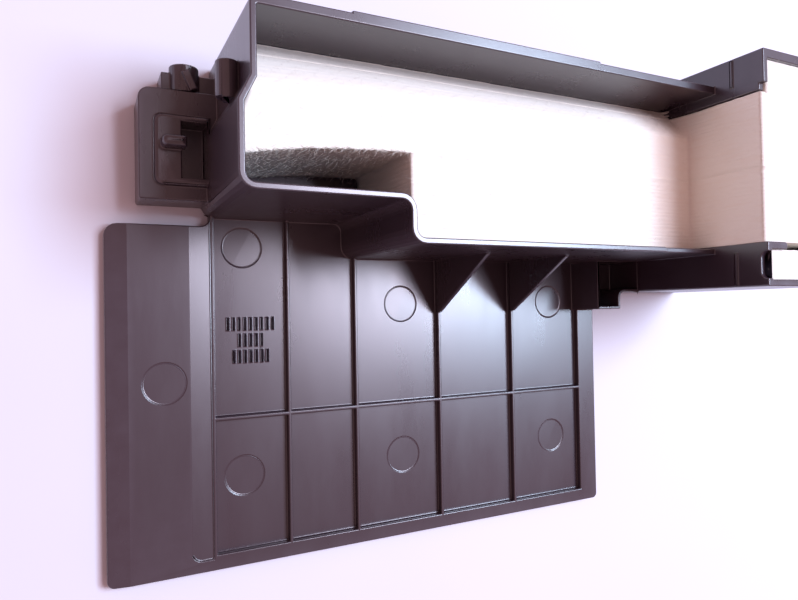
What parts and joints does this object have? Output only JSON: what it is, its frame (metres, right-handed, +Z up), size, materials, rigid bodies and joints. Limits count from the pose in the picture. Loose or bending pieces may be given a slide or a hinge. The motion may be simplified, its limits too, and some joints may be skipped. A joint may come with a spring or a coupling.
{
  "type": "waste ink pad tray",
  "caption": "Ribbed cover plate moulded in one with a walled trough that holds stacked felt sheets to soak up waste ink.",
  "frame": {"origin": "middle of the footprint, on the plane that the tray's underside rests on", "axes": "+X along the trough towards the deep box, +Y across the cover plate towards the trough, +Z up out of the plate"},
  "size_m": [0.1676, 0.1146, 0.0509],
  "materials": {
    "moulding": "glossy injection-moulded polystyrene, dark brown-black",
    "felt": "matte white needled felt, die cut"
  },
  "bodies": {
    "tray": {"tray_moulding": "moulding"},
    "felt_lower": {"felt_lower_1": "felt", "felt_lower_2": "felt", "felt_lower_3": "felt", "felt_lower_4": "felt", "felt_lower_5": "felt", "felt_lower_6": "felt"},
    "felt_upper": {"felt_upper_1": "felt", "felt_upper_2": "felt", "felt_upper_3": "felt", "felt_upper_4": "felt", "felt_upper_5": "felt", "felt_upper_6": "felt", "felt_upper_7": "felt"},
    "felt_front_corner": {"felt_front_corner_1": "felt", "felt_front_corner_2": "felt"},
    "felt_back_corner": {"felt_back_corner_1": "felt", "felt_back_corner_2": "felt", "felt_back_corner_3": "felt"}
  },
  "joints": [
    {"name": "felt_lower_lift", "type": "slide", "parent": "tray", "child": "felt_lower", "axis": [0, 0, 1], "range_m": [0, 0.06]},
    {"name": "felt_upper_lift", "type": "slide", "parent": "tray", "child": "felt_upper", "axis": [0, 0, 1], "range_m": [0, 0.06]},
    {"name": "felt_front_corner_lift", "type": "slide", "parent": "tray", "child": "felt_front_corner", "axis": [0, 0, 1], "range_m": [0, 0.06]},
    {"name": "felt_back_corner_lift", "type": "slide", "parent": "tray", "child": "felt_back_corner", "axis": [0, 0, 1], "range_m": [0, 0.06]}
  ]
}
